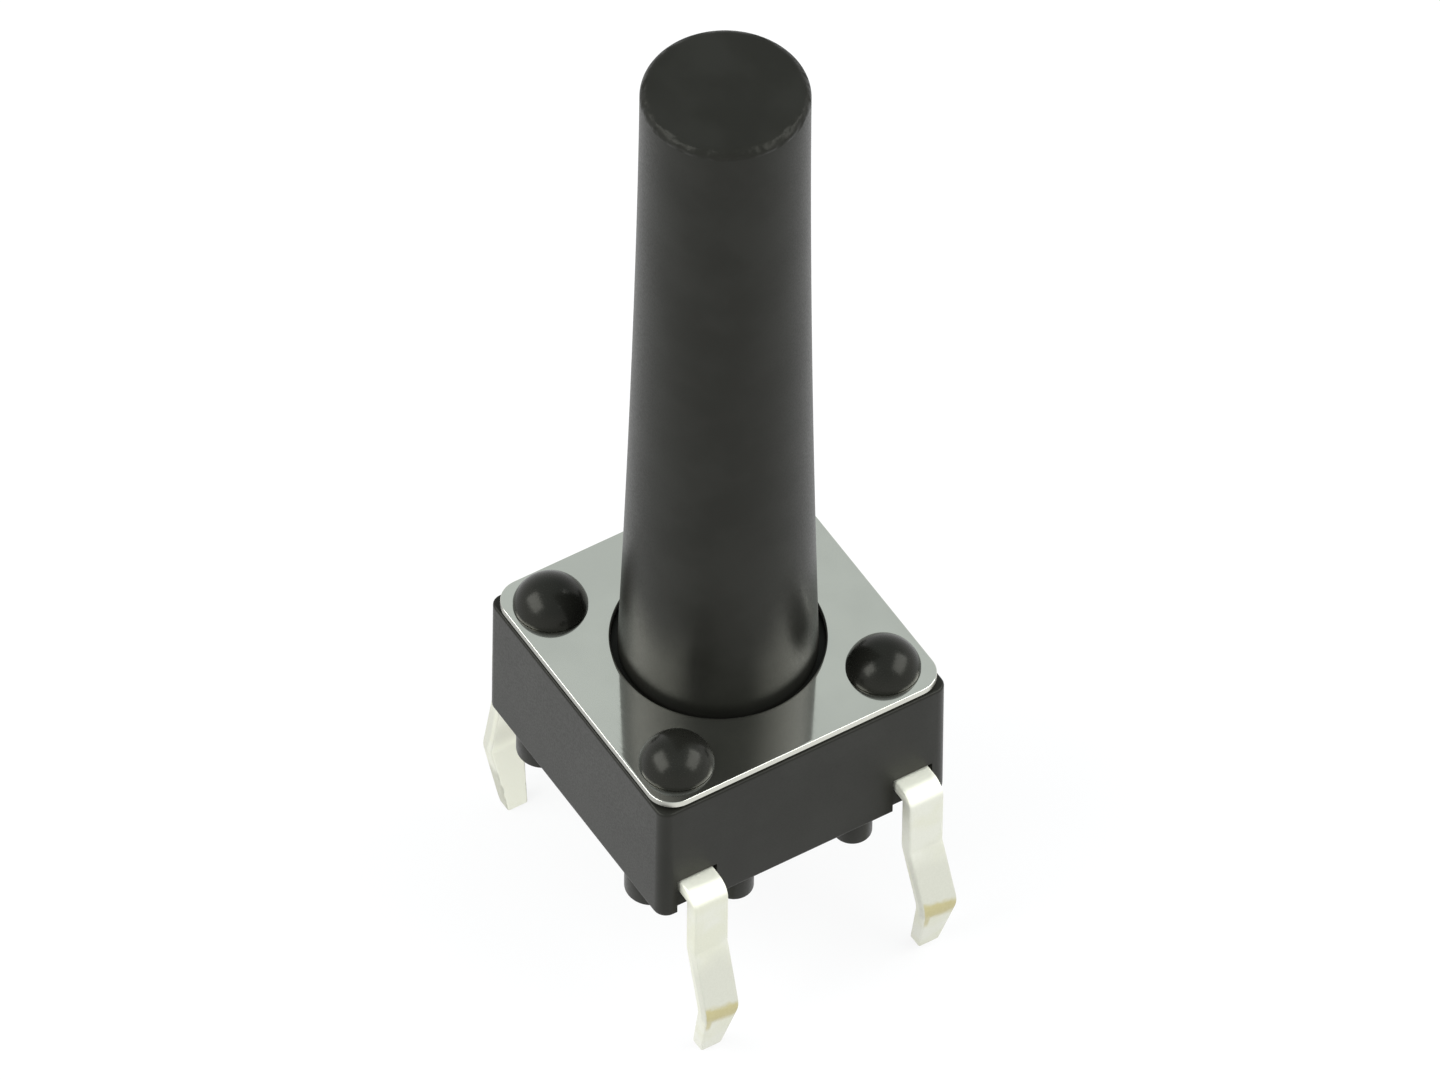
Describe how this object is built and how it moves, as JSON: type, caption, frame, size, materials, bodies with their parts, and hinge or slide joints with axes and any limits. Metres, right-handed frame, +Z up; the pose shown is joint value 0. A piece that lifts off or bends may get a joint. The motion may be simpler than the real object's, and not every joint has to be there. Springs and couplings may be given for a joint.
{
  "type": "tactile push button switch",
  "caption": "Through-hole tactile push button switch: square black base, staked steel cover, tall tapered plunger on a snap dome, kinked tinned pins.",
  "frame": {"origin": "centre of the pin pattern on the board's surface, where the feet stand", "axes": "+Z up along the plunger, from the board to the tip; X across the two rows of pins; Y along a row"},
  "size_m": [0.0078, 0.006, 0.0209],
  "materials": {
    "base_plastic": "fine moulded satin black",
    "cover_steel": "rolled bright steel",
    "plunger_plastic": "satin black",
    "dome_steel": "bright spring steel",
    "tinned_brass": "matte tin plating"
  },
  "bodies": {
    "housing": {"base": "base_plastic", "cover": "cover_steel", "contact_dome": "dome_steel", "terminal_centre": "tinned_brass", "terminal_outer": "tinned_brass"},
    "plunger": {"plunger": "plunger_plastic"}
  },
  "joints": [
    {"name": "plunger_press", "type": "slide", "parent": "housing", "child": "plunger", "axis": [0, 0, -1], "range_m": [0, 0.00025], "stiffness_N_per_m": 6400, "deforming": ["contact_dome"]}
  ]
}
